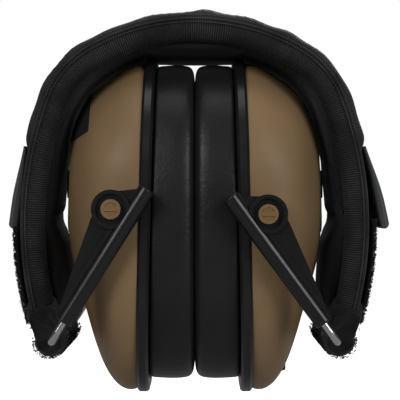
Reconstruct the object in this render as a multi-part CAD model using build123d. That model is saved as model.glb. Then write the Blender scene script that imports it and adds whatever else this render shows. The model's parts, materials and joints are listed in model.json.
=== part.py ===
from build123d import *
import math
import os

# Folding electronic earmuff, stowed: the two ear cups stand side by side under the padded
# headband.  Millimetres, +X to the right, +Y to the rear, +Z up.  The origin is on the
# ground, midway between the cups.
# Every side is modelled once, outward = +X, and mirrored for the left.

# ---------------------------------------------------------------- driving dimensions
CUP_HEIGHT = 108.0          # rim plate, foot to top
CUP_WIDTH = 84.0            # rim plate, front to rear
CUP_TILT = 1.33             # the two rims stand a little apart at the bottom, degrees
RIM_X = 17.25               # outer plane of the rim at mid height
RIM_THICK = 3.7
WALL = 2.6                  # cup shell wall
CUSHION_FACE_X = 0.3        # each cushion stops just short of the middle plane

BAND_WIDTH = 62.0
BAND_TOP = 118.0            # height of the band's seam line at the middle
BAND_SIDE = 53.3            # greatest reach of the seam line
CROWN_R = 66.0              # three arcs of the seam line: crown, shoulder, side
CROWN_TURN = math.radians(30)
SHOULDER_R = 30.0
SIDE_R = 110.0
SEAM_OUT = 4.7              # outer face and inner face, measured from the seam line
SEAM_IN = -5.6
THIN_OUT = 2.4              # outer face below the padded shoulder
THICK_END_Z = 78.0          # the thick cover stops here
BAND_END_Z = 25.0

HINGE_X, HINGE_Z = 43.5, 18.8        # crossbar of the wire yoke
LEG_Y = 46.0                         # legs of the yoke, front and rear
LEG_ANGLE = {"left": 57.85, "right": 53.6}
WIRE_R = 1.1
WIRE_END = 52.0                      # end of the leg, along it from the crossbar
TUBE_R = 2.7
TUBE_FROM, TUBE_TO = 7.5, 55.0
RUN_FIT = 0.05                       # radial clearance of anything that turns or slides
EYE_U, EYE_V = 44.0, 6.0             # centre of the eye, along and above the leg
EYE_R = 5.9
PIN_R = 2.55

FLEX_ANGLE = 20.0                    # where the band starts to bend, from the vertical
FLEX_OUT = 7.4
SPLIT_GAP = 0.15

SIDES = {"left": -1, "right": 1}
os.makedirs("parts", exist_ok=True)

# ---------------------------------------------------------------- the band's three arcs
CROWN_Z = BAND_TOP - CROWN_R
SHOULDER_X = (CROWN_R - SHOULDER_R) * math.sin(CROWN_TURN)
SHOULDER_Z = CROWN_Z + (CROWN_R - SHOULDER_R) * math.cos(CROWN_TURN)
SIDE_X = BAND_SIDE - SIDE_R
SIDE_Z = SHOULDER_Z - math.sqrt((SIDE_R - SHOULDER_R) ** 2 - (SHOULDER_X - SIDE_X) ** 2)
SIDE_TURN = math.atan2(SHOULDER_X - SIDE_X, SHOULDER_Z - SIDE_Z)
FLEX_X = (CROWN_R + FLEX_OUT) * math.sin(math.radians(FLEX_ANGLE))
FLEX_Z = CROWN_Z + (CROWN_R + FLEX_OUT) * math.cos(math.radians(FLEX_ANGLE))


def seam_x(z, out=0.0):
    """Reach of the side arc at a height, `out` millimetres outside the seam line."""
    return SIDE_X + math.sqrt((SIDE_R + out) ** 2 - (SIDE_Z - z) ** 2)


def on_arc(cx, cz, r, turn):
    return (cx + r * math.sin(turn), cz + r * math.cos(turn))


def arch_edges(out, end_z):
    """Edges of the right half of the arch, `out` outside the seam line, in the XZ plane."""
    crown = CROWN_R + out
    shoulder = SHOULDER_R + out
    a = on_arc(0, CROWN_Z, crown, 0)
    b = on_arc(0, CROWN_Z, crown, CROWN_TURN / 2)
    c = on_arc(0, CROWN_Z, crown, CROWN_TURN)
    d = on_arc(SHOULDER_X, SHOULDER_Z, shoulder, (CROWN_TURN + SIDE_TURN) / 2)
    e = on_arc(SHOULDER_X, SHOULDER_Z, shoulder, SIDE_TURN)
    f = (seam_x((e[1] + end_z) / 2, out), (e[1] + end_z) / 2)
    g = (seam_x(end_z, out), end_z)
    return [ThreePointArc(a, b, c), ThreePointArc(c, d, e), ThreePointArc(e, f, g)], a, g


def slab(face, width, at=0.0):
    """A face drawn in X and Z, given a depth along Y and centred at `at`."""
    solid = extrude(Plane.XZ * face, amount=width / 2, both=True)
    return Pos(0, at, 0) * solid


def strip(inner, outer, width, end_z=BAND_END_Z, at=0.0):
    """Half of the arch between two offsets, down to end_z."""
    low, a0, g0 = arch_edges(inner, end_z)
    high, a1, g1 = arch_edges(outer, end_z)
    edges = low + high + [Line(a0, a1), Line(g0, g1)]
    return slab(make_face(edges), width, at)


def outline(points):
    return make_face(Polyline(*points, close=True))


def wedge(past_split):
    """Everything on the crown's side of the split, or on the arm's side of it."""
    turn = math.radians(FLEX_ANGLE)
    ux, uz = math.sin(turn), math.cos(turn)
    shift = SPLIT_GAP / 2 if past_split else -SPLIT_GAP / 2
    ox, oz = FLEX_X + shift * uz, FLEX_Z - shift * ux
    far = 160.0
    top = (ox + 30 * ux, oz + 30 * uz)
    low = (ox - 60 * ux, oz - 60 * uz)
    if past_split:
        return slab(outline([top, low, (low[0], -30), (far, -30), (far, top[1])]), 200)
    return slab(outline([top, low, (-1, low[1]), (-1, top[1] + 20), (top[0], top[1] + 20)]), 200)


CROWN_SIDE = wedge(False)
ARM_SIDE = wedge(True)


def both_halves(half):
    return half + mirror(half, about=Plane.YZ)


def fuse(*shapes):
    whole = shapes[0]
    for shape in shapes[1:]:
        whole = whole + shape
    return whole


def rod(radius, x, z, y_from, y_to):
    """A round bar along Y."""
    bar = Cylinder(radius, abs(y_to - y_from), rotation=(90, 0, 0))
    return Pos(x, (y_from + y_to) / 2, z) * bar


def save(shape, node):
    export_step(shape, "parts/" + node + ".step")


def save_side(shape, node, side):
    """Write a piece modelled outward = +X, mirrored where it belongs on the left."""
    if SIDES[side] < 0:
        shape = mirror(shape, about=Plane.YZ)
    save(shape, node + "_" + side)


# ---------------------------------------------------------------- headband
FOAM_IN, FOAM_OUT = SEAM_IN + 2.0, 1.2
WIRE_Y = 18.0
BAND_WIRE_R = 1.5


def band_cover():
    """Outer cover: a channel, open towards the head, thick down to the shoulder pad's end."""
    thick = strip(FOAM_OUT + 0.3, SEAM_OUT, BAND_WIDTH)
    thick = thick & (Pos(50, 0, THICK_END_Z + 40) * Box(140, 80, 80))
    thin = strip(0.0, THIN_OUT, BAND_WIDTH)
    core = strip(-1.0, FOAM_OUT, BAND_WIDTH - 5.0, BAND_END_Z - 1)
    return thick + thin - core


def band_lining():
    """Inner lining with its two ribbed edge bindings: a channel open to the outside."""
    whole = strip(SEAM_IN, -0.1, BAND_WIDTH)
    core = strip(FOAM_IN, 0.0, BAND_WIDTH - 5.0, BAND_END_Z - 1)
    return whole - core


def band_foam():
    """Foam core with a channel for each spring wire."""
    core = strip(FOAM_IN + 0.1, FOAM_OUT - 0.1, BAND_WIDTH - 5.4, BAND_END_Z + 3.2)
    return core - fuse(*[strip(-1.6, 0.9, 3.4, BAND_END_Z - 2, y) for y in (-WIRE_Y, WIRE_Y)])


def band_wire(y):
    """One flat spring wire along the band, at a depth y."""
    return strip(-1.5, 0.8, 3.2, BAND_END_Z + 2, y)


def eyed_wire(y):
    """The arm's spring wire, rolled round the yoke's crossbar at its lower end."""
    top_x = seam_x(BAND_END_Z + 3, -0.35)
    tail = outline([
        (top_x - 1.15, BAND_END_Z + 3),
        (top_x + 1.15, BAND_END_Z + 3),
        (HINGE_X + 2.9, HINGE_Z),
        (HINGE_X + 1.0, HINGE_Z),
    ])
    eye = rod(2.9, HINGE_X, HINGE_Z, y - 1.6, y + 1.6)
    whole = (band_wire(y) & ARM_SIDE) + slab(tail, 3.2, y) + eye
    return whole - rod(WIRE_R + RUN_FIT, HINGE_X, HINGE_Z, y - 3, y + 3)


def crown_pad():
    """Pad under the crown, pressed flat by the tops of the two rims."""
    under = strip(SEAM_IN - 6.0, SEAM_IN - 0.1, 56.0)
    keep = Pos(0, 0, 113) * Box(35, 80, 8.2)
    return both_halves(under) & keep


save(both_halves(band_cover() & CROWN_SIDE), "crown_cover")
save(both_halves(band_lining() & CROWN_SIDE), "crown_lining")
save(both_halves(band_foam() & CROWN_SIDE), "crown_foam")
save(Compound([both_halves(band_wire(y) & CROWN_SIDE) for y in (-WIRE_Y, WIRE_Y)]),
     "crown_spring_wires")
save(crown_pad(), "crown_pad")

WRAP_X, WRAP_Z, WRAP_R = 45.2, 17.4, 6.1


def side_pad():
    """Flap cushion inside the arm, from the hinge up to the middle of the cup."""
    pad = strip(SEAM_IN - 4.6, SEAM_IN - 0.1, 54.0, 27.0)
    keep = Pos(40, 0, 41) * Box(60, 80, 28)
    return pad & keep


def end_wrap():
    """Fuzzy sleeve sewn round the yoke's crossbar at the end of the arm."""
    sleeve = rod(WRAP_R, WRAP_X, WRAP_Z, -29, 29)
    x_in = seam_x(BAND_END_Z, SEAM_IN)
    x_out = seam_x(BAND_END_Z, THIN_OUT)
    neck = outline([
        (x_in, BAND_END_Z - 0.1),
        (x_out, BAND_END_Z - 0.1),
        (WRAP_X + WRAP_R, WRAP_Z),
        (WRAP_X - 4.0, WRAP_Z),
    ])
    bore = rod(3.2, HINGE_X, HINGE_Z, -30, 30)
    slots = []
    for y in (-WIRE_Y, WIRE_Y):
        slot = outline([(43.0, 17.0), (47.6, 17.0), (51.5, 26.0), (46.0, 26.0)])
        slots.append(slab(slot, 3.6, y))
    return sleeve + slab(neck, 58) - bore - fuse(*slots)


def loop_panel():
    """Fuzzy panel on the outside of the arm."""
    return strip(THIN_OUT + 0.1, 4.4, 56.0, 24.0) & (Pos(50, 0, 39.5) * Box(60, 80, 31))


def patch():
    """Stiff blank patch, held at its top; its lower end stands away from the arm."""
    points = [(53.9, 77.4), (56.5, 77.4), (61.9, 54.6), (58.4, 53.2)]
    plate = slab(outline(points), 50)
    end = rod(1.9, 60.15, 54.1, -25, 25)
    return plate + end


def pull_loop():
    """Small cord loop below the fuzzy panel."""
    bend = 2.6
    x, top, low = 52.4, 21.0, 18.6
    path = Line((x, -bend, top), (x, -bend, low))
    path += ThreePointArc((x, -bend, low), (x, 0, low - bend), (x, bend, low))
    path += Line((x, bend, low), (x, bend, top))
    start = Plane(origin=(x, -bend, top), z_dir=(0, 0, -1))
    loop = sweep(start * Circle(0.8), path=path)
    tab = Pos(x, 0, 21.9) * Box(1.4, 8.6, 3.4)
    return loop + tab


for side in SIDES:
    save_side(band_cover() & ARM_SIDE, "arm_cover", side)
    save_side(band_lining() & ARM_SIDE, "arm_lining", side)
    save_side(band_foam() & ARM_SIDE, "arm_foam", side)
    save_side(Compound([eyed_wire(y) for y in (-WIRE_Y, WIRE_Y)]), "arm_spring_wires", side)
    save_side(side_pad(), "side_pad", side)
    save_side(end_wrap(), "end_wrap", side)
    save_side(loop_panel(), "loop_panel", side)
    save_side(patch(), "patch", side)
    save_side(pull_loop(), "pull_loop", side)


# ---------------------------------------------------------------- yokes and sliders
def leg_frame(shape, side):
    """Put a piece drawn with +X along the leg and -Z above it on its hinge."""
    return Pos(HINGE_X, 0, HINGE_Z) * Rot(0, 180 + LEG_ANGLE[side], 0) * shape


def pin_place(side):
    """Pivot of the ear cup, outward = +X."""
    turn = math.radians(LEG_ANGLE[side])
    x = HINGE_X - EYE_U * math.cos(turn) + EYE_V * math.sin(turn)
    z = HINGE_Z + EYE_U * math.sin(turn) + EYE_V * math.cos(turn)
    return x, z


def yoke_wire():
    """One bent wire: leg, crossbar, leg."""
    bend = 4.0
    k = bend * (1 - math.sqrt(0.5))
    y = LEG_Y
    path = Line((WIRE_END, -y, 0), (bend, -y, 0))
    path += ThreePointArc((bend, -y, 0), (k, -y + k, 0), (0, -y + bend, 0))
    path += Line((0, -y + bend, 0), (0, y - bend, 0))
    path += ThreePointArc((0, y - bend, 0), (k, y - k, 0), (bend, y, 0))
    path += Line((bend, y, 0), (WIRE_END, y, 0))
    start = Plane(origin=(WIRE_END, -y, 0), z_dir=(-1, 0, 0))
    return sweep(start * Circle(WIRE_R), path=path)


def slider(facing):
    """Tube, web and eye of one slider; facing is -1 for the front one, +1 for the rear."""
    y = facing * LEG_Y
    length = TUBE_TO - TUBE_FROM
    tube = Cylinder(TUBE_R, length, rotation=(0, 90, 0))
    tube = Pos((TUBE_FROM + TUBE_TO) / 2, y, 0) * tube
    tube = fillet(tube.edges().filter_by(GeomType.CIRCLE), 0.5)
    web = outline([
        (8.0, -1.6), (8.6, -2.9), (38.3, -9.6), (41.0, -10.0),
        (49.4, -7.6), (53.5, -2.4), (53.5, 0), (8.0, 0),
    ])
    web = slab(web, 2.0, y)
    ledge = outline([(9.0, -2.2), (45.0, -2.2), (45.0, -3.6), (12.0, -3.6)])
    ledge = slab(ledge, 3.4, y)
    eye = rod(EYE_R, EYE_U, -EYE_V, facing * 43.5, facing * 48.4)
    recess = rod(4.7, EYE_U, -EYE_V, facing * 47.0, facing * 50)
    hole = rod(PIN_R + RUN_FIT, EYE_U, -EYE_V, facing * 42, facing * 50)
    bore = Cylinder(WIRE_R + RUN_FIT, 60, rotation=(0, 90, 0))
    bore = Pos(WIRE_END + 1.5 - 30, y, 0) * bore
    return tube + web + ledge + eye - recess - hole - bore


for side in SIDES:
    save_side(leg_frame(yoke_wire(), side), "yoke_wire", side)
    for name, facing in (("slider_front", -1), ("slider_rear", 1)):
        save_side(leg_frame(slider(facing), side), name, side)


# ---------------------------------------------------------------- ear cups
# Cup frame: x outward from the rim's outer plane, z up from mid height.
def seat(shape):
    return Pos(RIM_X, 0, CUP_HEIGHT / 2) * Rot(0, -CUP_TILT, 0) * shape


GROUND = Pos(0, 0, -25) * Box(400, 400, 50)


def oval(x, width, height, radius, lift=0.0):
    """A rounded outline across the cup at a distance x."""
    plane = Plane(origin=(x, 0, lift), x_dir=(0, 1, 0), z_dir=(1, 0, 0))
    return plane * RectangleRounded(width, height, radius)


def tablet(x_from, x_to, width, height, radius, lift=0.0):
    return extrude(oval(x_from, width, height, radius, lift), amount=x_to - x_from)


def post(radius, x, z_from, z_to):
    """An upright round bar in the middle plane."""
    return Pos(x, 0, (z_from + z_to) / 2) * Cylinder(radius, z_to - z_from)


def disc(x_from, x_to, radius, y=0.0, z=0.0):
    bar = Cylinder(radius, x_to - x_from, rotation=(0, 90, 0))
    return Pos((x_from + x_to) / 2, y, z) * bar


# (x, half width, half height, centre height, corner share of the half width)
DOME = [
    (0.0, 41.0, 53.3, -0.4, 0.90),
    (6.0, 40.6, 52.2, -0.9, 0.90),
    (12.0, 38.8, 45.9, 1.3, 0.90),
    (17.0, 34.5, 36.6, 6.4, 0.90),
    (20.5, 28.5, 28.4, 9.2, 0.88),
    (23.2, 19.0, 16.5, 12.0, 0.85),
]


def dome(inset, back_off):
    """The cup's outer form, or its hollow when inset by the wall."""
    sections = []
    for x, half_w, half_h, centre, corner in DOME:
        w = half_w - inset
        h = half_h - inset
        r = min(w, h) * corner
        sections.append(oval(x - back_off * x / 23.2, 2 * w, 2 * h, r, centre))
    return loft(sections)


OUTER = seat(dome(0.0, 0.0))
INNER = seat(dome(WALL, 2.4) + tablet(-2, 0.01, 2 * 38.4, 2 * 50.7, 34, -0.4))
SCREW_PLACES = [(-24, -35), (24, -35), (-27, 31), (27, 31)]
PANEL_Z = 8.0
KNOB_X, KNOB_Z = 27.0, 31.0
JACK_X, JACK_Z = 26.5, 3.6


def door_region():
    """The upper outer corner of the left cup that the battery door covers."""
    return slab(outline([(33.3, 120), (33.3, 83.6), (38.8, 80.8), (60, 72), (60, 120)]), 60)


def screw_posts():
    return seat(fuse(*[disc(0.6, 13.0, 2.9, y, z) for y, z in SCREW_PLACES]))


def face_panel_block(grow, x_to):
    """Upright block behind the black panel on the outer face of the cup."""
    return tablet(10, x_to, 26 + 2 * grow, 22 + 2 * grow, 5.0 + grow, PANEL_Z)


def boss_and_pin(side):
    x, z = pin_place(side)
    boss = fuse(*[rod(5.5, x, z, s * 36.0, s * 43.15) for s in (-1, 1)])
    boss = boss & seat(tablet(0.1, 30, 120, 120, 10))
    hole = fuse(*[rod(PIN_R + 0.02, x, z, s * 34.0, s * 50.0) for s in (-1, 1)])
    return boss, hole


def cup_shell(side):
    boss, hole = boss_and_pin(side)
    hollow = INNER - screw_posts() - (boss & OUTER)
    shell = OUTER + boss - hollow - hole
    shell = shell - seat(fuse(*[disc(-3, 11, 0.95, y, z) for y, z in SCREW_PLACES]))
    shell = shell - seat(face_panel_block(0.05, 40))
    if side == "left":
        shell = shell - (door_region() & OUTER - INNER)
    else:
        pad = rod(9.4, KNOB_X, KNOB_Z, 31.8, 38.9)
        shell = shell + (pad - INNER) - rod(8.4, KNOB_X, KNOB_Z, 38.9, 50)
        shell = shell - rod(2.08, KNOB_X, KNOB_Z, 20, 50) - rod(5.0, KNOB_X, KNOB_Z, 20, 31.7)
        shell = shell - post(3.05, JACK_X, JACK_Z - 2, 20) - post(4.0, JACK_X, 0, JACK_Z + 0.9)
    return shell - GROUND


def battery_door():
    """Skin of the upper outer corner, a snap fit all round."""
    region = slab(outline([(33.45, 120), (33.45, 83.7), (38.9, 80.95), (60, 72.2), (60, 120)]),
                  59.6)
    skin = seat(dome(-0.3, -0.3)) - INNER
    return skin & region


def rim_plate(side):
    body = tablet(-RIM_THICK, 0.0, CUP_WIDTH, CUP_HEIGHT + 1.6, 37.5, -0.3)
    edges = body.edges().filter_by(Plane.YZ)
    body = chamfer(edges, 0.8)
    skirt = tablet(-0.5, 4.0, 75.6, 100.0, 34.6, -0.4) - tablet(-1, 5, 71.6, 96.0, 32.6, -0.4)
    opening = tablet(-6, 6, 50.0, 68.0, 24.0)
    recess = tablet(-RIM_THICK - 1, -RIM_THICK + 1.4, 78.0, 101.0, 35.0, -0.3)
    holes = fuse(*[disc(-6, 1, 1.3, y, z) for y, z in SCREW_PLACES])
    heads = fuse(*[disc(-6, -RIM_THICK + 2.2, 2.6, y, z) for y, z in SCREW_PLACES])
    x, z = pin_place(side)
    notch = rod(5.9, x, z, -60, 60) & seat(tablet(0.2, 20, 120, 120, 10))
    return seat(body + skirt - opening - recess - holes - heads) - notch - GROUND


def cushion_backing(side):
    plate = tablet(-RIM_THICK + 0.1, -RIM_THICK + 1.3, 77.6, 100.6, 34.8, -0.3)
    opening = tablet(-6, 2, 50.0, 68.0, 24.0)
    holes = fuse(*[disc(-6, 1, 2.6, y, z) for y, z in SCREW_PLACES])
    return seat(plate - opening - holes)


def ear_cushion(side):
    ring = tablet(-22, -RIM_THICK - 0.05, 82.4, 104.2, 36.8, 0.4)
    ring = ring - tablet(-30, 0, 46.0, 64.0, 22.5, 0.4)
    ring = seat(ring) & (Pos(50 + CUSHION_FACE_X, 0, 54) * Box(100, 200, 200))
    return fillet(ring.edges().group_by(Axis.X)[0], 3.4)


def foam_liner(side):
    sheet = tablet(4.3, 7.4, 66.0, 84.0, 30.0, 0.0)
    posts = fuse(*[disc(3, 12, 3.3, y, z) for y, z in SCREW_PLACES])
    sheet = seat(sheet - posts - disc(3, 12, 20.4))
    if side == "left":
        return sheet
    return sheet - rod(5.2, KNOB_X, KNOB_Z, 20, 50) - post(3.3, JACK_X, 0, JACK_Z + 16)


def speaker(side):
    basket = disc(0.8, 4.2, 20.0) + disc(4.1, 7.4, 9.0)
    return seat(basket - disc(0, 2.2, 17.5))


def face_panel(side):
    """Black panel let into the outer face, standing a little proud."""
    block = face_panel_block(0.0, 40) & dome(-0.9, -0.8)
    block = block - dome(2.0, 1.8) - tablet(10, 40, 22.1, 9.1, 2.0, PANEL_Z + 4.6)
    return seat(block)


def mic_grille(side):
    """Ribbed windscreen of the outside microphone, in the upper half of the panel."""
    block = tablet(10, 40, 22.0, 9.0, 2.0, PANEL_Z + 4.6) & dome(-1.4, -1.4)
    block = block - dome(0.6, 0.2)
    for i in range(4):
        groove = Pos(23.6, 0, PANEL_Z + 1.6 + 2.0 * i) * Box(1.6, 20, 0.8)
        block = block - groove
    return seat(block)


def microphone(side):
    return seat(disc(18.5, 20.2, 3.0, 0, PANEL_Z + 4.6))


def pivot_pins(side):
    """Shaft, cap with a finger groove, and inner collar, front and rear."""
    x, z = pin_place(side)
    pins = []
    for s in (-1, 1):
        pin = rod(PIN_R, x, z, s * 35.0, s * 47.2) + rod(3.0, x, z, s * 47.1, s * 48.9)
        pin = pin - rod(2.0, x, z, s * 48.6, s * 50)
        pin = pin + (Pos(x, s * 48.55, z) * Box(3.9, 0.9, 1.3))
        pins.append(pin)
    return Compound(pins)


def shell_screws(side):
    screws = []
    for y, z in SCREW_PLACES:
        screw = disc(-RIM_THICK + 1.5, 9.5, 0.9, y, z)
        screw = screw + disc(-RIM_THICK + 0.2, -RIM_THICK + 1.9, 2.2, y, z)
        slot = Pos(-RIM_THICK + 0.3, y, z) * Box(0.9, 3.0, 0.6)
        screws.append(seat(screw - slot))
    return Compound(screws)


CUP_PIECES = [
    (cup_shell, "cup_shell"),
    (rim_plate, "rim_plate"),
    (cushion_backing, "cushion_backing"),
    (ear_cushion, "ear_cushion"),
    (foam_liner, "foam_liner"),
    (speaker, "speaker"),
    (face_panel, "face_panel"),
    (mic_grille, "mic_grille"),
    (microphone, "microphone"),
    (pivot_pins, "pivot_pins"),
    (shell_screws, "shell_screws"),
]
for side in SIDES:
    for make, node in CUP_PIECES:
        save_side(make(side), node, side)

# ---------------------------------------------------------------- battery side (left)
CELL_R = 5.25
CELL_X = 13.0
CELL_YS = (-5.9, 5.9)
CELL_LOW, CELL_TOP = -14.2, 30.8


def upright(radius, y, z_from, z_to):
    """An upright round bar in the cup, on the cells' plane."""
    return Pos(CELL_X, y, (z_from + z_to) / 2) * Cylinder(radius, z_to - z_from)


def batteries():
    cells = []
    for y in CELL_YS:
        cell = upright(CELL_R, y, CELL_LOW, CELL_TOP - 1.2)
        cells.append(seat(cell + upright(1.9, y, CELL_TOP - 1.5, CELL_TOP)))
    return Compound(cells)


def battery_tray():
    """Open cradle behind the cells with a wall at each end."""
    height = CELL_TOP - CELL_LOW + 4.4
    hull = Pos(10.6, 0, (CELL_TOP + CELL_LOW) / 2) * Box(6.0, 24.6, height)
    cells = fuse(*[upright(CELL_R + 0.1, y, CELL_LOW - 0.9, CELL_TOP + 0.9) for y in CELL_YS])
    return seat(hull - cells) & INNER


def battery_contacts():
    """A plate at each end of each cell."""
    plates = []
    for z in (CELL_LOW - 0.45, CELL_TOP + 0.45):
        for y in CELL_YS:
            plates.append(seat(upright(3.6, y, z - 0.3, z + 0.3)))
    return Compound(plates)


save_side(battery_door(), "battery_door", "left")
save_side(batteries(), "batteries", "left")
save_side(battery_tray(), "battery_tray", "left")
save_side(battery_contacts(), "battery_contacts", "left")


# ---------------------------------------------------------------- control side (right)
def volume_knob():
    knob = rod(7.5, KNOB_X, KNOB_Z, 39.1, 42.6)
    for i in range(18):
        turn = 2 * math.pi * i / 18
        x = KNOB_X + 7.7 * math.cos(turn)
        z = KNOB_Z + 7.7 * math.sin(turn)
        knob = knob - rod(0.6, x, z, 38, 44)
    knob = knob + rod(2.0, KNOB_X, KNOB_Z, 30.2, 39.5)
    return knob - (Pos(KNOB_X, 42.6, KNOB_Z + 4.6) * Box(1.0, 0.8, 4.0))


def potentiometer():
    body = rod(4.8, KNOB_X, KNOB_Z, 24.0, 31.5)
    return body - rod(2.05, KNOB_X, KNOB_Z, 30.0, 40)


def circuit_board():
    board = tablet(12.2, 13.8, 46.0, 44.0, 4.0, 8.0)
    chips = Pos(14.6, -8, 12) * Box(1.8, 9, 9) + Pos(14.6, 9, 4) * Box(1.8, 7, 12)
    return seat(board + chips)


def aux_jack():
    """Socket for a 3.5 mm plug, in the bottom of the cup."""
    body = post(3.0, JACK_X, JACK_Z, JACK_Z + 15) + post(3.9, JACK_X, JACK_Z, JACK_Z + 0.8)
    return body - post(1.8, JACK_X, JACK_Z - 1, JACK_Z + 13)


save_side(volume_knob(), "volume_knob", "right")
save_side(potentiometer(), "potentiometer", "right")
save_side(circuit_board(), "circuit_board", "right")
save_side(aux_jack(), "aux_jack", "right")
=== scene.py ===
import bpy
import json
import math
import random
import numpy as np
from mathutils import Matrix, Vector, noise


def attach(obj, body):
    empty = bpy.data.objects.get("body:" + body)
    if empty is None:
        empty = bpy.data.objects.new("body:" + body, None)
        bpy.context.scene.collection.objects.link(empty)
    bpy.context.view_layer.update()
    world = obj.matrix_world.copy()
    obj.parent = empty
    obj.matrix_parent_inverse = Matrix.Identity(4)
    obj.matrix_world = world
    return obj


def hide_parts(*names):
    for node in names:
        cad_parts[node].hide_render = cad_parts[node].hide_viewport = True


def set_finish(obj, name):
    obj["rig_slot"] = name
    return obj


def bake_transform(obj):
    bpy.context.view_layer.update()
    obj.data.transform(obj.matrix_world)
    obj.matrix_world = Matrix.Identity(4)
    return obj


# A folding electronic earmuff, stowed on its two cup rims.  Lengths below are millimetres
# unless a comment says metres, and become metres when a mesh is made.
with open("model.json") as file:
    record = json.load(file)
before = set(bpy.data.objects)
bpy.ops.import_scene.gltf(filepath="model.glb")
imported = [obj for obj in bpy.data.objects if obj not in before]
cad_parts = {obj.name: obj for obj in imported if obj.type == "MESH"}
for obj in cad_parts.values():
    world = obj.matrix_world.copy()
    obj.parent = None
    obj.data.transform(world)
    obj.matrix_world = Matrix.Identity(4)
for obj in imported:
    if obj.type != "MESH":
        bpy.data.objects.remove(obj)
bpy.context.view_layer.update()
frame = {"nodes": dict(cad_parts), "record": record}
MM = 0.001
SIDES = {"left": -1, "right": 1}

# ---------------------------------------------------------------- the band's seam line
BAND_TOP = 118.0
BAND_SIDE = 53.3
CROWN_R, SHOULDER_R, SIDE_R = 66.0, 30.0, 110.0
CROWN_TURN = math.radians(30)
HALF_WIDTH = 31.0
BAND_END_Z = 25.0
CROWN_Z = BAND_TOP - CROWN_R
SHOULDER_X = (CROWN_R - SHOULDER_R) * math.sin(CROWN_TURN)
SHOULDER_Z = CROWN_Z + (CROWN_R - SHOULDER_R) * math.cos(CROWN_TURN)
SIDE_X = BAND_SIDE - SIDE_R
SIDE_Z = SHOULDER_Z - math.sqrt((SIDE_R - SHOULDER_R) ** 2 - (SHOULDER_X - SIDE_X) ** 2)
SIDE_TURN = math.atan2(SHOULDER_X - SIDE_X, SHOULDER_Z - SIDE_Z)
CROWN_LENGTH = CROWN_R * CROWN_TURN
SHOULDER_LENGTH = SHOULDER_R * (SIDE_TURN - CROWN_TURN)


def seam(s):
    """Point and outward direction in X and Z, s millimetres from the crown's middle."""
    if s < CROWN_LENGTH:
        turn = s / CROWN_R
        cx, cz, r = 0.0, CROWN_Z, CROWN_R
    elif s < CROWN_LENGTH + SHOULDER_LENGTH:
        turn = CROWN_TURN + (s - CROWN_LENGTH) / SHOULDER_R
        cx, cz, r = SHOULDER_X, SHOULDER_Z, SHOULDER_R
    else:
        turn = SIDE_TURN + (s - CROWN_LENGTH - SHOULDER_LENGTH) / SIDE_R
        cx, cz, r = SIDE_X, SIDE_Z, SIDE_R
    nx, nz = math.sin(turn), math.cos(turn)
    return cx + r * nx, cz + r * nz, nx, nz


def seam_length(z):
    """Distance along the seam line to a height on the side arc."""
    turn = math.pi / 2 + math.asin((SIDE_Z - z) / SIDE_R)
    return CROWN_LENGTH + SHOULDER_LENGTH + SIDE_R * (turn - SIDE_TURN)


BAND_LENGTH = seam_length(BAND_END_Z)
THICK_END = seam_length(78.0)        # the padded part of the cover stops here


def smooth(t):
    t = min(1.0, max(0.0, t))
    return t * t * (3 - 2 * t)


# ---------------------------------------------------------------- mesh building
def new_object(name, verts, faces, material, uvs=None):
    """A mesh object from millimetre points; uvs holds one pair in metres for each point."""
    mesh = bpy.data.meshes.new(name)
    mesh.from_pydata([(x * MM, y * MM, z * MM) for x, y, z in verts], [], faces)
    mesh.validate()
    if uvs is not None:
        layer = mesh.uv_layers.new(name="UVMap")
        for loop in mesh.loops:
            layer.data[loop.index].uv = uvs[loop.vertex_index]
    mesh.polygons.foreach_set("use_smooth", [True] * len(mesh.polygons))
    mesh.materials.append(MATERIALS[material])
    obj = bpy.data.objects.new(name, mesh)
    bpy.context.scene.collection.objects.link(obj)
    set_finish(obj, material)
    return obj


def grid_faces(rows, columns, wrap):
    """Quads between rows of points; wrap closes each row into a ring."""
    faces = []
    across = columns if wrap else columns - 1
    for i in range(rows - 1):
        for j in range(across):
            a = i * columns + j
            b = i * columns + (j + 1) % columns
            faces.append((a, b, b + columns, a + columns))
    return faces


def closed_faces(rows, columns):
    """Quads of a closed ring of closed rings."""
    last = (rows - 1) * columns
    return grid_faces(rows, columns, True) + [
        (last + j, last + (j + 1) % columns, (j + 1) % columns, j) for j in range(columns)]


def ring_solid(name, rings, material, uvs=None, mirror=False):
    """A closed solid through rings of points, capped at both ends."""
    columns = len(rings[0])
    verts = [p for ring in rings for p in ring]
    faces = grid_faces(len(rings), columns, True)
    faces.append(tuple(range(columns))[::-1])
    last = (len(rings) - 1) * columns
    faces.append(tuple(range(last, last + columns)))
    if mirror:
        verts = [(-x, y, z) for x, y, z in verts]
        faces = [f[::-1] for f in faces]
    obj = new_object(name, verts, faces, material, uvs)
    for cap in list(obj.data.polygons)[-2:]:
        cap.use_smooth = False
    return obj


def spread(points, count):
    """Resample a closed loop of (y, out) points through a smooth curve."""
    n = len(points)
    result = []
    for i in range(count):
        f = i * n / count
        k = int(f)
        t = f - k
        p0, p1, p2, p3 = (points[(k + d - 1) % n] for d in range(4))
        result.append(tuple(
            0.5 * (2 * b + (c - a) * t + (2 * a - 5 * b + 4 * c - d) * t * t
                   + (3 * b - a - 3 * c + d) * t ** 3)
            for a, b, c, d in zip(p0, p1, p2, p3)))
    return result


END_ROUNDING = 5.0                   # length over which the arm's end is drawn together
BAND_MIDDLE = -1.9                   # middle of the band's thickness, out from the seam line


def rounded_end(s, loop):
    """Draw a section together over the last millimetres of the arm."""
    past = (s - BAND_LENGTH + END_ROUNDING) / END_ROUNDING
    if past <= 0:
        return loop
    keep = math.sqrt(max(0.05, 1 - past * past))
    return [(y * (0.94 + 0.06 * keep), BAND_MIDDLE + (out - BAND_MIDDLE) * keep)
            for y, out in loop]


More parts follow.
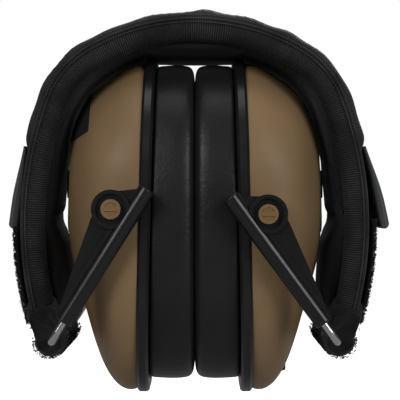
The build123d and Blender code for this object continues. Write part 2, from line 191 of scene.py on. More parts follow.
def band_strip(name, section, material, side, s_from=0.0, s_to=BAND_LENGTH, step=1.0):
    """Sweep section(s), a closed loop of (y, out), along one half of the seam line."""
    count = max(2, int((s_to - s_from) / step) + 1)
    rings, uvs = [], []
    for i in range(count):
        s = s_from + (s_to - s_from) * i / (count - 1)
        x, z, nx, nz = seam(s)
        loop = rounded_end(s, section(s))
        rings.append([(x + out * nx, y, z + out * nz) for y, out in loop])
        run = 0.0
        for j, (y, out) in enumerate(loop):
            if j:
                run += math.hypot(y - loop[j - 1][0], out - loop[j - 1][1])
            uvs.append((s * MM, run * MM))
    return ring_solid(name, rings, material, uvs, mirror=SIDES[side] < 0)


def tube(name, path, radius, material, mirror=False, sides=10):
    """A round bar along a list of points."""
    rings, uvs = [], []
    run = 0.0
    up = Vector((0, 1, 0))
    for i, p in enumerate(path):
        p = Vector(p)
        before = Vector(path[max(i - 1, 0)])
        after = Vector(path[min(i + 1, len(path) - 1)])
        way = (after - before).normalized()
        a = way.cross(up)
        if a.length < 0.05:
            a = way.cross(Vector((1, 0, 0)))
        a.normalize()
        b = way.cross(a).normalized()
        up = -b if b.dot(up) < 0 else b
        run += (p - before).length
        ring = []
        for j in range(sides):
            turn = 2 * math.pi * j / sides
            ring.append(tuple(p + a * (radius * math.cos(turn)) + up * (radius * math.sin(turn))))
            uvs.append((run * MM, radius * turn * MM))
        rings.append(ring)
    return ring_solid(name, rings, material, uvs, mirror)


# ---------------------------------------------------------------- materials
MATERIALS = {}


THREAD_WAVE = 0.314                  # over a pitch in metres, gives a wave texture's scale


class Recipe:
    """A material under construction; slots are the record's, scales are per metre."""

    def __init__(self, slot, roughness, metallic=0.0, tint=(1, 1, 1), **inputs):
        record = next(m for m in frame["record"]["materials"] if m["slot"] == slot)
        self.base = tuple(c * t for c, t in zip(record["base_color"], tint)) + (1.0,)
        self.mat = bpy.data.materials.new(slot)
        self.mat.use_nodes = True
        self.tree = self.mat.node_tree
        self.shader = self.tree.nodes["Principled BSDF"]
        self.shader.inputs["Base Color"].default_value = self.base
        self.shader.inputs["Roughness"].default_value = roughness
        self.shader.inputs["Metallic"].default_value = metallic
        self.shader.inputs["Specular IOR Level"].default_value = 0.25
        for key, value in inputs.items():
            self.shader.inputs[key.replace("_", " ")].default_value = value
        MATERIALS[slot] = self.mat
        self.normal = None

    def add(self, kind, **settings):
        node = self.tree.nodes.new(kind)
        for key, value in settings.items():
            if key in node.inputs:
                node.inputs[key].default_value = value
            else:
                setattr(node, key, value)
        return node

    def link(self, a, b):
        self.tree.links.new(a, b)

    def place(self, uv=False, scale=(1, 1, 1), turn=0.0):
        coords = self.add("ShaderNodeTexCoord")
        mapping = self.add("ShaderNodeMapping")
        mapping.inputs["Scale"].default_value = scale
        mapping.inputs["Rotation"].default_value = (0, 0, turn)
        self.link(coords.outputs["UV" if uv else "Object"], mapping.inputs["Vector"])
        return mapping.outputs["Vector"]

    def noise(self, scale, detail=3.0, rough=0.55, where=None):
        node = self.add("ShaderNodeTexNoise", Scale=scale, Detail=detail, Roughness=rough)
        self.link(where or self.place(), node.inputs["Vector"])
        return node.outputs["Fac"]

    def cells(self, scale, where=None, feature="F1"):
        node = self.add("ShaderNodeTexVoronoi", Scale=scale, feature=feature)
        self.link(where or self.place(), node.inputs["Vector"])
        return node.outputs["Distance"]

    def wave(self, scale, axis="X", where=None, distortion=0.0):
        node = self.add("ShaderNodeTexWave", Scale=scale, Distortion=distortion,
                        bands_direction=axis)
        self.link(where or self.place(), node.inputs["Vector"])
        return node.outputs["Fac"]

    def math(self, kind, a, b):
        node = self.add("ShaderNodeMath", operation=kind)
        for socket, value in zip(node.inputs, (a, b)):
            if hasattr(value, "is_linked"):
                self.link(value, socket)
            else:
                socket.default_value = value
        return node.outputs[0]

    def ramp(self, value, stops):
        node = self.add("ShaderNodeValToRGB")
        points = node.color_ramp.elements
        while len(points) < len(stops):
            points.new(0.5)
        for point, (at, color) in zip(points, stops):
            point.position = at
            point.color = color if len(color) == 4 else tuple(color) + (1.0,)
        self.link(value, node.inputs["Fac"])
        return node.outputs["Color"]

    def shades(self, value, dark, light):
        """Base colour from dark to light shares of the record's colour."""
        tones = [(0.3, [c * dark for c in self.base[:3]]), (0.7, [c * light for c in self.base[:3]])]
        self.link(self.ramp(value, tones), self.shader.inputs["Base Color"])

    def gloss(self, value, low, high):
        node = self.add("ShaderNodeMapRange")
        node.inputs["To Min"].default_value = low
        node.inputs["To Max"].default_value = high
        self.link(value, node.inputs["Value"])
        self.link(node.outputs["Result"], self.shader.inputs["Roughness"])

    def bump(self, height, depth, strength=1.0):
        node = self.add("ShaderNodeBump", Strength=strength, Distance=depth)
        self.link(height, node.inputs["Height"])
        if self.normal is not None:
            self.link(self.normal, node.inputs["Normal"])
        self.normal = node.outputs["Normal"]
        self.link(self.normal, self.shader.inputs["Normal"])


def moulded(slot, roughness, grain, depth, coat=0.0, tint=(0.6, 0.6, 0.62)):
    """Moulded plastic: fine spark-eroded grain, faint flow clouds, rubbed patches."""
    r = Recipe(slot, roughness, 0.0, tint, Coat_Weight=coat, Coat_Roughness=0.25)
    clouds = r.noise(38.0, 4.0)
    r.shades(clouds, 0.90, 1.10)
    r.gloss(r.noise(170.0, 5.0), roughness - 0.07, roughness + 0.08)
    r.bump(r.noise(grain, 2.0), depth)
    return r


def steel(slot, roughness, stretch=(400, 400, 400)):
    """Drawn or ground metal with fine streaks."""
    r = Recipe(slot, roughness, 1.0)
    streak = r.noise(8.0, 4.0, where=r.place(scale=stretch))
    r.shades(streak, 0.75, 1.1)
    r.gloss(r.noise(500.0, 3.0), roughness - 0.06, roughness + 0.14)
    r.bump(streak, 0.00003, 0.6)


def weave(slot, pitch, depth, roughness, sheen):
    """Plain weave: two crossed waves, with cloudy dye and fuzz."""
    r = Recipe(slot, roughness, Sheen_Weight=sheen, Sheen_Roughness=0.45)
    where = r.place(uv=True)
    warp = r.wave(THREAD_WAVE / pitch, "X", where, 0.4)
    weft = r.wave(THREAD_WAVE / pitch, "Y", where, 0.4)
    cloth = r.math("MAXIMUM", warp, weft)
    r.shades(r.math("MULTIPLY", cloth, r.noise(60.0, 4.0)), 0.25, 2.2)
    r.gloss(r.noise(300.0), roughness - 0.08, roughness + 0.1)
    r.bump(cloth, depth)
    r.bump(r.noise(900.0, 2.0), depth * 0.4)


def build_materials():
    tan = moulded("shell_tan", 0.45, 2600.0, 0.00004, 0.0, (0.82, 0.75, 0.64))
    tan.bump(tan.noise(30.0, 2.0), 0.00012, 0.4)
    # The pins' tint is darker than the shell's: painted shade of the recess they sit in and of their
    # concave middle band.
    moulded("pin_tan", 0.40, 2200.0, 0.00004, 0.1, (0.62, 0.54, 0.42))
    moulded("rim_black", 0.34, 1900.0, 0.00003, 0.25)
    moulded("slider_black", 0.33, 2100.0, 0.00004, 0.35, (0.35, 0.35, 0.36))
    moulded("plastic_black", 0.5, 2000.0, 0.00005)
    moulded("door_black", 0.48, 1800.0, 0.00005)
    moulded("rubber_black", 0.72, 1500.0, 0.00006)
    patch = moulded("patch_rubber", 0.58, 1300.0, 0.00008, 0.0, (1.1, 1.1, 1.1))
    patch.bump(patch.wave(180.0, "Z"), 0.00005, 0.5)

    skin = Recipe("cushion_skin", 0.40, Sheen_Weight=0.03, Coat_Weight=0.1, Coat_Roughness=0.4)
    pores = skin.cells(900.0)
    folds = skin.cells(330.0, feature="SMOOTH_F1")
    skin.shades(skin.noise(45.0, 3.0), 0.5, 0.8)
    skin.gloss(skin.noise(120.0, 4.0), 0.33, 0.52)
    skin.bump(pores, 0.00007, 0.8)
    skin.bump(folds, 0.00012, 0.5)
    skin.bump(skin.noise(70.0, 2.0), 0.00015, 0.3)

    weave("band_fabric", 0.00075, 0.00012, 0.7, 0.06)
    mesh = Recipe("band_mesh", 0.85, Sheen_Weight=0.06, Sheen_Roughness=0.5)
    holes = mesh.cells(760.0, mesh.place(uv=True))
    mesh.shades(holes, 0.4, 0.12)
    mesh.bump(holes, 0.00025)
    mesh.bump(mesh.noise(50.0), 0.0008, 0.4)

    bind = Recipe("band_binding", 0.7, Sheen_Weight=0.05, Sheen_Roughness=0.45)
    where = bind.place(uv=True)
    ribs = bind.wave(THREAD_WAVE / 0.00074, "X", where, 0.2)
    bind.shades(bind.math("MULTIPLY", ribs, bind.noise(90.0)), 0.25, 2.3)
    bind.bump(ribs, 0.00032)
    bind.bump(bind.noise(60.0), 0.0005, 0.3)

    pile = Recipe("loop_pile", 0.95, Sheen_Weight=0.1, Sheen_Roughness=0.6)
    tufts = pile.noise(420.0, 5.0, 0.7)
    pile.shades(tufts, 0.08, 0.5)
    pile.bump(tufts, 0.0007)

    for slot in ("cord_black", "thread_black"):
        cord = Recipe(slot, 0.75, Sheen_Weight=0.03)
        twist = cord.wave(THREAD_WAVE / 0.0009, "DIAGONAL", cord.place(uv=True), 0.3)
        cord.shades(twist, 0.6, 1.5)
        cord.bump(twist, 0.0002)

    foam = Recipe("foam_grey", 0.97)
    open_cells = foam.cells(1100.0)
    foam.shades(open_cells, 0.5, 1.3)
    foam.bump(open_cells, 0.0005)

    steel("yoke_steel", 0.2, (900, 60, 900))
    steel("spring_steel", 0.35)
    steel("screw_steel", 0.3)
    steel("speaker_metal", 0.5)
    steel("battery_metal", 0.42)
    steel("contact_metal", 0.28)
    moulded("board_green", 0.35, 1500.0, 0.00004, 0.5)


build_materials()

# ---------------------------------------------------------------- CAD nodes that stay
SLOT_OF = {p["node"]: p["material_slot"] for p in frame["record"]["subparts"]}
for node, obj in frame["nodes"].items():
    slot = SLOT_OF[node]
    obj.data.materials.clear()
    obj.data.materials.append(MATERIALS[slot])
    obj.data.polygons.foreach_set("use_smooth", [True] * len(obj.data.polygons))
    obj.data.set_sharp_from_angle(angle=math.radians(32))
    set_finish(obj, slot)


def bend_with_band(obj, side):
    """Bake the piece's placement into its mesh."""
    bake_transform(obj)


WRINKLES = [(-62, 5, 0.45), (-50, 5, 0.5), (-37, 4.6, 0.65), (-25, 5, 0.4), (-13, 5, 0.5),
            (2.5, 4, 1.0), (15.5, 4.6, 0.6), (28, 4, 0.8), (40.5, 5, 0.55), (55, 5, 0.5),
            (68, 5, 0.45)]           # place along the band, half length and height


def cover_height(s, y, flip):
    """How far the cover's outer face stands outside the seam line."""
    full = 3.75 + 0.4 * math.cos(y / HALF_WIDTH * 1.4)
    for place, reach, height in WRINKLES:
        along = s * flip - place - 1.5 * math.sin(y * 0.09 + place)
        full += height * math.exp(-(along / reach) ** 2)
    full += 0.25 * noise.noise(Vector((s * 0.07, y * 0.05, 3.0)))
    thin = 2.4 + 0.15 * noise.noise(Vector((s * 0.1, y * 0.07, 9.0)))
    t = smooth((s - THICK_END + 3.5) / 6.0)
    return full * (1 - t) + thin * t


def cover_face(s, y, flip):
    """The cover's outer face, rounding down to its two edges."""
    return cover_height(s, y, flip) - 1.5 * (abs(y) / (0.9 * HALF_WIDTH)) ** 6


def cover_section(s, flip):
    top = []
    for k in range(-12, 13):
        y = HALF_WIDTH * 0.9 * k / 12
        top.append((y, cover_face(s, y, flip)))
    high = top[0][1]
    front = [(-30.2, 0.85), (-31.0, 1.0), (-31.25, 0.45 * high), (-31.0, 0.72 * high),
             (-29.9, 0.93 * high)]
    rear = [(-y, out) for y, out in front[::-1]]
    inside = [(20.0, 0.5), (0.0, 0.5), (-20.0, 0.5)]
    return front + top[1:-1] + rear + inside


def binding_section(facing):
    def section(s):
        wobble = 0.12 * noise.noise(Vector((s * 0.12, facing * 5.0, 0.0)))
        loop = [(30.0, -0.55), (31.1, -0.7), (31.8, -1.8), (31.95 + wobble, -3.2),
                (31.4, -4.8), (30.0, -6.0), (28.0, -6.35), (26.7, -6.0), (27.2, -4.0),
                (28.2, -1.6)]
        loop = spread(loop, 28)
        return [(facing * y, out) for y, out in (loop if facing > 0 else loop[::-1])]
    return section


BULGE = [(0.0, 0.5), (26.0, 1.2), (seam_length(93.0), 1.4), (seam_length(86.0), 2.1),
         (seam_length(79.0), 2.7), (seam_length(70.0), 3.4), (seam_length(61.0), 3.4),
         (seam_length(54.0), 1.2), (BAND_LENGTH + 9.0, 0.6)]


def between(table, s):
    """Smooth value from a table of (distance, value)."""
    for (s0, v0), (s1, v1) in zip(table, table[1:]):
        if s <= s1:
            return v0 + (v1 - v0) * smooth((s - s0) / (s1 - s0))
    return table[-1][1]


def lining_height(s, y):
    """Depth of the padded lining's face inside the seam line."""
    edge = abs(y) / 26.6
    depth = -5.5 - between(BULGE, s) * (1 - edge ** 5)
    depth -= 0.2 * noise.noise(Vector((s * 0.08, y * 0.09, 1.0)))
    return depth


def lining_section(s):
    face = [(26.6 * k / 12, lining_height(s, 26.6 * k / 12)) for k in range(12, -13, -1)]
    back = [(-26.6, -3.4), (0.0, -3.2), (26.6, -3.4)]
    return face + back


def foam_section(s):
    return [(-28.0, 0.3), (-28.0, -2.9), (0.0, -3.0), (28.0, -2.9), (28.0, 0.3), (0.0, 0.35)]


def seam_stitches(name, side, y, out, s_from, s_to, pitch=2.6):
    """A row of separate thread stitches at width y, out(s, y) from the seam line."""
    verts, faces, uvs = [], [], []
    flip = SIDES[side]
    count = int((s_to - s_from) / pitch)
    for i in range(count):
        a = s_from + pitch * (i + 0.15)
        b = s_from + pitch * (i + 0.85)
        base = len(verts)
        for k in range(5):
            t = k / 4
            s = a + (b - a) * t
            x, z, nx, nz = seam(s)
            depth = out(s, y)
            lift = math.copysign(0.16 * math.sin(math.pi * t), depth)
            for j in range(5):
                turn = 2 * math.pi * j / 5
                o = depth + lift + 0.17 * math.sin(turn)
                verts.append((flip * (x + o * nx), y + 0.2 * math.cos(turn), z + o * nz))
                uvs.append((s * MM, j * 0.0003))
        faces += [tuple(base + v for v in f) for f in grid_faces(5, 5, True)]
    return new_object(name, verts, faces, "thread_black", uvs)


def make_band(side):
    flip = SIDES[side]
    cover = band_strip("band_cover_" + side, lambda s: cover_section(s, flip), "band_fabric",
                       side)
    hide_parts("crown_cover", "arm_cover_" + side)
    bend_with_band(cover, side)
    lining = band_strip("band_lining_" + side, lining_section, "band_mesh", side)
    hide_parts("crown_lining", "arm_lining_" + side)
    bend_with_band(lining, side)
    foam = band_strip("band_foam_" + side, foam_section, "foam_grey", side,
                      s_to=BAND_LENGTH - 3.0, step=3.0)
    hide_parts("crown_foam", "arm_foam_" + side)
    bend_with_band(foam, side)
    for facing, word in ((-1, "front"), (1, "rear")):
        binding = band_strip("band_binding_%s_%s" % (word, side), binding_section(facing),
                             "band_binding", side)
        bend_with_band(binding, side)
        for at, radius, tag in ((0.62, 0.5, "outer"), (-0.32, 0.42, "inner")):
            path = []
            for i in range(120):
                s = (BAND_LENGTH - 2.5) * i / 119
                x, z, nx, nz = seam(s)
                path.append((x + at * nx, facing * 31.2, z + at * nz))
            piping = tube("%s_piping_%s_%s" % (tag, word, side), path, radius, "band_fabric",
                          mirror=flip < 0)
            bend_with_band(piping, side)
        stitches = seam_stitches("cover_stitches_%s_%s" % (word, side), side, facing * 26.0,
                                 lambda s, y: cover_face(s, y, flip) - 0.13, 1.0,
                                 THICK_END - 4.0)
        bend_with_band(stitches, side)


for side in SIDES:
    make_band(side)


# ---------------------------------------------------------------- padded pieces
def swell(obj, voxel, pressure, cap, frames=20):
    """Blow a closed mesh up as cloth, limit how far it moves, and keep the result."""
    scene = bpy.context.scene
    bpy.context.view_layer.objects.active = obj
    if voxel:
        remesh = obj.modifiers.new("remesh", "REMESH")
        remesh.mode = "VOXEL"
        remesh.voxel_size = voxel * MM
        remesh.use_smooth_shade = True
        apply_modifiers(obj)
    rest = np.array([v.co for v in obj.data.vertices])
    cloth = obj.modifiers.new("cloth", "CLOTH")
    settings = cloth.settings
    settings.quality = 6
    settings.use_pressure = True
    settings.uniform_pressure_force = pressure
    settings.tension_stiffness = 12
    settings.compression_stiffness = 12
    settings.bending_stiffness = 0.35
    settings.effector_weights.gravity = 0
    for number in range(1, frames + 1):
        scene.frame_set(number)
    apply_modifiers(obj)
    scene.frame_set(1)
    moved = np.array([v.co for v in obj.data.vertices])
    step = moved - rest
    size = np.linalg.norm(step, axis=1)
    limit = cap * MM
    scale = np.where(size > limit, limit / np.maximum(size, 1e-9), 1.0)
    moved = rest + step * scale[:, None]
    obj.data.vertices.foreach_set("co", moved.astype(np.float32).ravel())
    subdivide = obj.modifiers.new("subdivision", "SUBSURF")
    subdivide.levels = subdivide.render_levels = 1
    apply_modifiers(obj)
    return obj


def apply_modifiers(obj):
    """Replace the mesh by what its modifiers make of it."""
    bpy.context.view_layer.update()
    graph = bpy.context.evaluated_depsgraph_get()
    mesh = bpy.data.meshes.new_from_object(obj.evaluated_get(graph))
    materials = list(obj.data.materials)
    obj.modifiers.clear()
    obj.data = mesh
    obj.data.materials.clear()
    for material in materials:
        obj.data.materials.append(material)
    obj.data.polygons.foreach_set("use_smooth", [True] * len(obj.data.polygons))


def reshape(obj, move):
    """Move every point of a mesh by a function of millimetre coordinates."""
    for vertex in obj.data.vertices:
        x, y, z = move(*(c / MM for c in vertex.co))
        vertex.co = (x * MM, y * MM, z * MM)
    obj.data.update()


def mirrored(obj, name):
    """A copy on the other side of the middle plane."""
    copy = obj.copy()
    copy.data = obj.data.copy()
    copy.name = name
    for vertex in copy.data.vertices:
        vertex.co.x = -vertex.co.x
    copy.data.flip_normals()
    bpy.context.scene.collection.objects.link(copy)
    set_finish(copy, obj["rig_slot"])
    return copy


RIM_X, RIM_THICK, CUP_TILT, CUP_MID = 17.25, 3.7, math.radians(1.33), 54.0


def rim_plane(z):
    """Reach of the rim's inner plane at a height."""
    return RIM_X - RIM_THICK - math.tan(CUP_TILT) * (z - CUP_MID)


def oval_point(turn, half_w, half_h, power=2.5):
    c, s = math.cos(turn), math.sin(turn)
    y = half_w * math.copysign(abs(c) ** (2 / power), c)
    z = half_h * math.copysign(abs(s) ** (2 / power), s)
    return y, z


CUSHION_SECTION = [
    (0.0, 0.90), (0.02, 0.985), (0.15, 1.0), (0.5, 1.015), (0.8, 1.0), (0.93, 0.95), (0.99, 0.84),
    (1.0, 0.66), (1.0, 0.5), (1.0, 0.34), (0.99, 0.16), (0.93, 0.05), (0.8, 0.0), (0.5, -0.015),
    (0.15, 0.0), (0.02, 0.015), (0.0, 0.10), (0.0, 0.36), (0.0, 0.64)]


def ear_cushion():
    """Ring cushion of the right cup: crowned, flat only where it meets its twin."""
    around, across = 150, 36
    section = spread(CUSHION_SECTION, across)
    rings = []
    for i in range(around):
        turn = 2 * math.pi * i / around
        oy, oz = oval_point(turn, 40.4, 51.3, 2.6)
        iy, iz = oval_point(turn, 23.6, 32.6, 2.45)
        ring = []
        for depth, share in section:
            y = iy + (oy - iy) * share
            z = iz + (oz - iz) * share + CUP_MID + 0.9
            back = rim_plane(z) - 0.15
            ring.append((back + (0.1 - back) * depth, y, z))
        rings.append(ring)
    verts = [p for ring in rings for p in ring]
    obj = new_object("cushion_right", verts, closed_faces(around, across), "cushion_skin")
    swell(obj, None, 4.0, 1.0)

    def settle(x, y, z):
        x = max(0.02, min(x, rim_plane(z) - 0.1))
        y = max(-41.0, min(41.0, y))
        return x, y, max(1.6, z)

    reshape(obj, settle)
    return obj


right_cushion = ear_cushion()
left_cushion = mirrored(right_cushion, "cushion_left")
for side, obj in (("right", right_cushion), ("left", left_cushion)):
    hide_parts("ear_cushion_" + side)
    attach(obj, "cup_" + side)


def block(name, material, corner, steps):
    """A soft closed box whose faces are grids; corner(u, v, w) places a point of the unit cube."""
    lookup, verts, faces = {}, [], []

    def at(i, j, k):
        key = (i, j, k)
        if key not in lookup:
            lookup[key] = len(verts)
            verts.append(corner(i / steps[0], j / steps[1], k / steps[2]))
        return lookup[key]

    n, m, top = steps
    for i in range(n):
        for j in range(m):
            faces.append((at(i, j, 0), at(i, j + 1, 0), at(i + 1, j + 1, 0), at(i + 1, j, 0)))
            faces.append((at(i, j, top), at(i + 1, j, top), at(i + 1, j + 1, top),
                          at(i, j + 1, top)))
    for i in range(n):
        for k in range(top):
            faces.append((at(i, 0, k), at(i + 1, 0, k), at(i + 1, 0, k + 1), at(i, 0, k + 1)))
            faces.append((at(i, m, k), at(i, m, k + 1), at(i + 1, m, k + 1), at(i + 1, m, k)))
    for j in range(m):
        for k in range(top):
            faces.append((at(0, j, k), at(0, j, k + 1), at(0, j + 1, k + 1), at(0, j + 1, k)))
            faces.append((at(n, j, k), at(n, j + 1, k), at(n, j + 1, k + 1), at(n, j, k + 1)))
    return new_object(name, verts, faces, material)


def crown_pad():
    """Pad under the crown, pressed flat by the rims."""
    def corner(u, v, w):
        x = -16.8 + 33.6 * u
        y = -27.6 + 55.2 * v
        top = BAND_TOP - 5.2 - x * x / 128.0
        low = 109.2
        return x, y, low + (max(top, low + 1.2) - low) * w

    obj = block("crown_cushion", "band_mesh", corner, (18, 26, 4))
    swell(obj, 1.8, 4.0, 0.7)
    reshape(obj, lambda x, y, z: (x, y, max(z, 108.75)))
    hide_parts("crown_pad")
    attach(obj, "headband")


crown_pad()


def side_pad():
    """Cushion inside the right arm; it swells out of the lining and dies away below."""
    top, low = seam_length(60.0), seam_length(26.5)

    def corner(u, v, w):
        s = top + (low - top) * u
        y = -26.0 + 52.0 * v
        x, z, nx, nz = seam(s)
        edge = (abs(v - 0.5) * 2) ** 5
        full = 3.6 * smooth(u * 2.1) * (1 - 0.45 * smooth((u - 0.6) / 0.4)) * (1 - 0.3 * edge)
        out = -6.0 - (0.7 + full) * (1 - w)
        return x + out * nx, y, z + out * nz

    obj = block("side_cushion_right", "band_mesh", corner, (14, 26, 4))
    swell(obj, 1.8, 4.0, 0.9)
    return obj


right_pad = side_pad()
left_pad = mirrored(right_pad, "side_cushion_left")
for side, obj in (("right", right_pad), ("left", left_pad)):
    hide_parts("side_pad_" + side)
    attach(obj, "arm_" + side)


# ---------------------------------------------------------------- fuzzy pieces
def tufts(name, spots, side, seed):
    """Short curled fibres standing on a surface; spots gives (point, outward) pairs."""
    rng = random.Random(seed)
    verts, faces = [], []
    flip = SIDES[side]
    for (px, py, pz), (nx, ny, nz) in spots:
        n = Vector((nx, ny, nz)).normalized()
        lean = Vector((rng.uniform(-1, 1), rng.uniform(-1, 1), rng.uniform(-1, 1)))
        lean = (lean - n * lean.dot(n)).normalized()
        tall = rng.uniform(0.2, 0.55)
        reach = rng.uniform(0.2, 0.55)
        side_way = n.cross(lean)
        p = Vector((px, py, pz))
        base = len(verts)
        for k in range(4):
            t = k / 3
            q = p + n * (tall * math.sin(t * 2.2)) + lean * (reach * t * 1.3)
            r = 0.19 * (1 - 0.4 * t)
            for j in range(3):
                turn = 2.094 * j
                v = q + side_way * (r * math.cos(turn)) + n * (r * math.sin(turn))
                verts.append((flip * v.x, v.y, v.z))
        faces += [tuple(base + v for v in f) for f in grid_faces(4, 3, True)]
    return new_object(name, verts, faces, "loop_pile")


def panel_out(s, y):
    return 3.7 + 0.35 * noise.noise(Vector((s * 0.6, y * 0.6, 2.0)))


def loop_panel(side):
    """Loop half of the hook-and-loop fastening, outside the arm."""
    first, last = seam_length(56.0 if side == "right" else 53.5), seam_length(24.2)

    def section(s):
        edge = min(1.0, min(s - first, last - s) / 1.5 + 0.35)
        face = [(27.6 * k / 22, 2.6 + (panel_out(s, 27.6 * k / 22) - 2.6) * edge
                 * (1 - (abs(k) / 22) ** 8 * 0.5)) for k in range(-22, 23)]
        return face + [(27.6, 2.5), (0.0, 2.5), (-27.6, 2.5)]

    obj = band_strip("loop_panel_soft_" + side, section, "loop_pile", side, first, last, 0.8)
    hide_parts("loop_panel_" + side)
    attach(obj, "arm_" + side)
    rng = random.Random(5 + SIDES[side])
    spots = []
    for _ in range(3200):
        s = rng.uniform(first, last)
        y = rng.choice((rng.uniform(-27.6, 27.6), math.copysign(27.3, rng.random() - 0.5)))
        x, z, nx, nz = seam(s)
        out = rng.uniform(2.6, 3.7) if abs(y) > 27 else panel_out(s, y)
        tilt = math.copysign(1.0, y) if abs(y) > 27 else 0.0
        spots.append(((x + out * nx, y, z + out * nz), (nx, tilt, nz)))
    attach(tufts("loop_panel_pile_" + side, spots, side, 11), "arm_" + side)


WRAP_X, WRAP_Z, WRAP_R = 45.8, 17.5, 5.2


def wrap_outline(count=44):
    """Outline of the end wrap in X and Z: a round foot that runs up into the arm."""
    x0, z0, nx0, nz0 = seam(seam_length(30.0))
    outer = (x0 + 2.7 * nx0, z0 + 2.7 * nz0)
    inner = (x0 - 6.9 * nx0, z0 - 6.9 * nz0)
    points = [inner]
    for i in range(13):
        a = math.radians(165 + 210 * i / 12)
        points.append((WRAP_X + WRAP_R * math.cos(a), WRAP_Z + WRAP_R * math.sin(a)))
    points.append(outer)
    return spread(points, count)


def end_wrap(side):
    """Fuzzy sleeve round the yoke's crossbar."""
    flip = SIDES[side]
    outline = wrap_outline()
    cx = sum(p[0] for p in outline) / len(outline)
    cz = sum(p[1] for p in outline) / len(outline)
    rings, rows = [], 40
    for i in range(rows + 1):
        t = i / rows
        y = -28.0 + 56.0 * t
        pinch = 1.0 - 0.28 * abs(2 * t - 1) ** 10
        ring = []
        for x, z in outline:
            lump = 0.35 * noise.noise(Vector((x * 0.5, y * 0.45, z * 0.5)))
            grow = pinch + lump / 6.0
            wide = 1 + 0.15 * smooth((z - 18.0) / 9.0)
            ring.append((cx + (x - cx) * grow, y * wide, cz + (z - cz) * grow))
        rings.append(ring)
    obj = ring_solid("end_wrap_soft_" + side, rings, "loop_pile", None, flip < 0)
    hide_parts("end_wrap_" + side)
    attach(obj, "arm_" + side)
    rng = random.Random(21 + flip)
    spots = []
    for _ in range(1500):
        k = rng.randrange(len(outline))
        x, z = outline[k]
        ax, az = outline[(k + 1) % len(outline)]
        bx, bz = outline[k - 1]
        y = rng.uniform(-27.5, 27.5)
        n = Vector((az - bz, 0, bx - ax))
        if n.dot(Vector((x - cx, 0, z - cz))) < 0:
            n = -n
        if z > 25.0:
            continue
        spots.append(((x, y, z), tuple(n)))
    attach(tufts("end_wrap_pile_" + side, spots, side, 31), "arm_" + side)


for side in SIDES:
    loop_panel(side)
    end_wrap(side)


# ---------------------------------------------------------------- patches and cord loops
def patch(side):
    """Soft rubber patch: rounded plate with a pressed groove near its edge."""
    right = SIDES[side] > 0
    top = Vector((53.5, 0, 79.0))
    low = Vector((60.3 if right else 57.5, 0, 53.0))
    way = (low - top).normalized()
    out = Vector((-way.z, 0, way.x))
    length = (low - top).length
    rows, cols = 40, 60
    verts = []

    def half_depth(u, v):
        """Half thickness over the unit plate, rounded at its edges, with a groove."""
        edge = min(v, 1 - v) * 50.0
        foot = (1 - u) * length
        near = min(edge, foot)
        thick = 0.7 + 0.9 * smooth(u * 1.4)
        round_off = math.sqrt(max(0.0, 1 - max(0.0, 1 - near / 1.6) ** 2))
        groove = 0.35 * math.exp(-((near - 3.4) / 0.45) ** 2)
        return thick * round_off - groove

    for face in (1, -1):
        for i in range(rows + 1):
            for j in range(cols + 1):
                u = 1 - (1 - i / rows) ** 1.8
                v = 0.5 - 0.5 * math.cos(math.pi * j / cols)
                curl = 0.5 * math.sin(math.pi * u) * (1 if right else 0.4)
                p = top + way * (length * u) + out * (face * half_depth(u, v) + curl)
                verts.append((p.x, -25.0 + 50.0 * v, p.z))
    size = (rows + 1) * (cols + 1)
    front = grid_faces(rows + 1, cols + 1, False)
    faces = front + [tuple(v + size for v in f[::-1]) for f in front]
    for i in range(rows):
        for j in (0, cols):
            a = i * (cols + 1) + j
            b = a + cols + 1
            faces.append((a, b, b + size, a + size) if j else (b, a, a + size, b + size))
    for j in range(cols):
        for i in (0, rows):
            a = i * (cols + 1) + j
            b = a + 1
            faces.append((a, b, b + size, a + size) if not i else (b, a, a + size, b + size))
    if not right:
        verts = [(-x, y, z) for x, y, z in verts]
        faces = [f[::-1] for f in faces]
    obj = new_object("patch_soft_" + side, verts, faces, "patch_rubber")
    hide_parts("patch_" + side)
    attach(obj, "arm_" + side)


def pull_loop(side):
    """Hairpin of braided cord below the fuzzy panel."""
    path = []
    for i in range(25):
        t = i / 24
        a = math.pi * (t - 0.5)
        y = 2.4 * math.sin(a) * (1.0 + 0.25 * math.cos(a))
        drop = 5.5 * math.cos(a) ** 0.7 if 0 < t < 1 else 0.0
        path.append((51.5 + 1.5 * (drop / 5.5) ** 2, y, 22.6 - drop))
    obj = tube("pull_cord_" + side, path, 0.75, "cord_black", mirror=SIDES[side] < 0)
    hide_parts("pull_loop_" + side)
    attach(obj, "arm_" + side)


for side in SIDES:
    patch(side)
    pull_loop(side)


# ---------------------------------------------------------------- audio socket
def audio_socket(x=26.5, low=5.4, high=17.6):
    """Socket sleeve in the right cup's underside, its mouth flush with the shell."""
    profile = [(1.8, low + 0.5), (2.2, low), (3.5, low), (3.7, low + 0.3), (3.7, high),
               (1.8, high)]
    verts, count = [], 40
    for i in range(count):
        turn = 2 * math.pi * i / count
        verts += [(x + r * math.cos(turn), r * math.sin(turn), z) for r, z in profile]
    obj = new_object("audio_socket", verts, closed_faces(count, len(profile)), "plastic_black")
    bevel = obj.modifiers.new("bevel", "BEVEL")
    bevel.width = 0.15 * MM
    bevel.segments = 2
    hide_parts("aux_jack_right")
    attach(obj, "cup_right")


audio_socket()


# ---------------------------------------------------------------- studio
FLOOR_Z = -0.066       # metres; below the cups when the band is opened and they hang down
FLOOR_R = 1.1          # metres


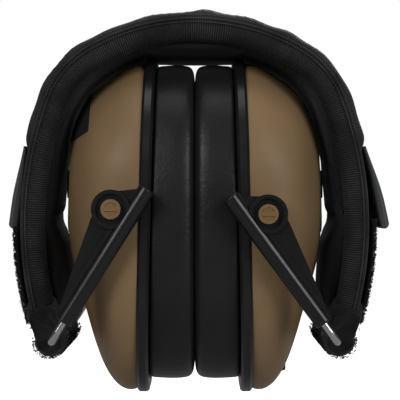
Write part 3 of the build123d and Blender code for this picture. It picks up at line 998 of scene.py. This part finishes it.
def studio():
    """A pale floor, soft lights and the camera; lengths here are metres."""
    scene = bpy.context.scene
    glowing_plane("floor", 0.92)
    world = bpy.data.worlds.new("studio")
    world.use_nodes = True
    tree = world.node_tree
    dim = tree.nodes["Background"]
    dim.inputs["Color"].default_value = (0.9, 0.95, 1.0, 1.0)
    dim.inputs["Strength"].default_value = 0.07
    pale = tree.nodes.new("ShaderNodeBackground")
    pale.inputs["Color"].default_value = (1.0, 1.0, 1.0, 1.0)
    path = tree.nodes.new("ShaderNodeLightPath")
    mix = tree.nodes.new("ShaderNodeMixShader")
    tree.links.new(path.outputs["Is Camera Ray"], mix.inputs["Fac"])
    tree.links.new(dim.outputs[0], mix.inputs[1])
    tree.links.new(pale.outputs[0], mix.inputs[2])
    tree.links.new(mix.outputs[0], tree.nodes["World Output"].inputs["Surface"])
    scene.world = world
    area("key", (-0.42, -0.70, 0.42), (-0.03, 0, 0.06), 0.30, 2.5)
    area("fill", (0.50, -0.62, 0.34), (0.03, 0, 0.06), 0.30, 2.2)
    area("top", (0.0, -0.10, 0.80), (0.0, 0, 0.06), 0.5, 1.3)
    area("back", (0.15, 0.75, 0.50), (0.0, 0, 0.06), 0.5, 2.6)
    data = bpy.data.cameras.new("camera")
    data.lens = 129.6
    data.sensor_width = 36.0
    data.clip_start = 0.01
    camera = bpy.data.objects.new("camera", data)
    camera.location = (1.67 * MM, -480 * MM, 62.0 * MM)
    camera.rotation_euler = (math.radians(90), 0, 0)
    scene.collection.objects.link(camera)
    scene.camera = camera
    scene.view_settings.view_transform = "Standard"


def area(name, place, aim, size, power):
    data = bpy.data.lights.new(name, "AREA")
    data.energy = power
    data.size = size
    light = bpy.data.objects.new(name, data)
    light.location = place
    way = Vector(aim) - Vector(place)
    light.rotation_euler = way.to_track_quat("-Z", "Y").to_euler()
    bpy.context.scene.collection.objects.link(light)


def glowing_plane(name, glow):
    """A pale studio floor that is partly lit from within, so that it stays even."""
    mesh = bpy.data.meshes.new(name)
    edge = [(FLOOR_R * math.cos(a * math.pi / 24), FLOOR_R * math.sin(a * math.pi / 24), FLOOR_Z)
            for a in range(48)]
    mesh.from_pydata(edge, [], [tuple(range(48))])
    material = bpy.data.materials.new(name + "_white")
    material.use_nodes = True
    shader = material.node_tree.nodes["Principled BSDF"]
    shader.inputs["Base Color"].default_value = (0.9, 0.9, 0.9, 1)
    shader.inputs["Roughness"].default_value = 0.9
    shader.inputs["Emission Color"].default_value = (1, 1, 1, 1)
    shader.inputs["Emission Strength"].default_value = glow
    tree = material.node_tree
    dull = tree.nodes.new("ShaderNodeBsdfDiffuse")
    dull.inputs["Color"].default_value = (0.45, 0.45, 0.45, 1)
    path = tree.nodes.new("ShaderNodeLightPath")
    mix = tree.nodes.new("ShaderNodeMixShader")
    tree.links.new(path.outputs["Is Camera Ray"], mix.inputs["Fac"])
    tree.links.new(dull.outputs[0], mix.inputs[1])
    tree.links.new(shader.outputs[0], mix.inputs[2])
    tree.links.new(mix.outputs[0], tree.nodes["Material Output"].inputs["Surface"])
    mesh.materials.append(material)
    obj = bpy.data.objects.new(name, mesh)
    bpy.context.scene.collection.objects.link(obj)
    return obj


studio()
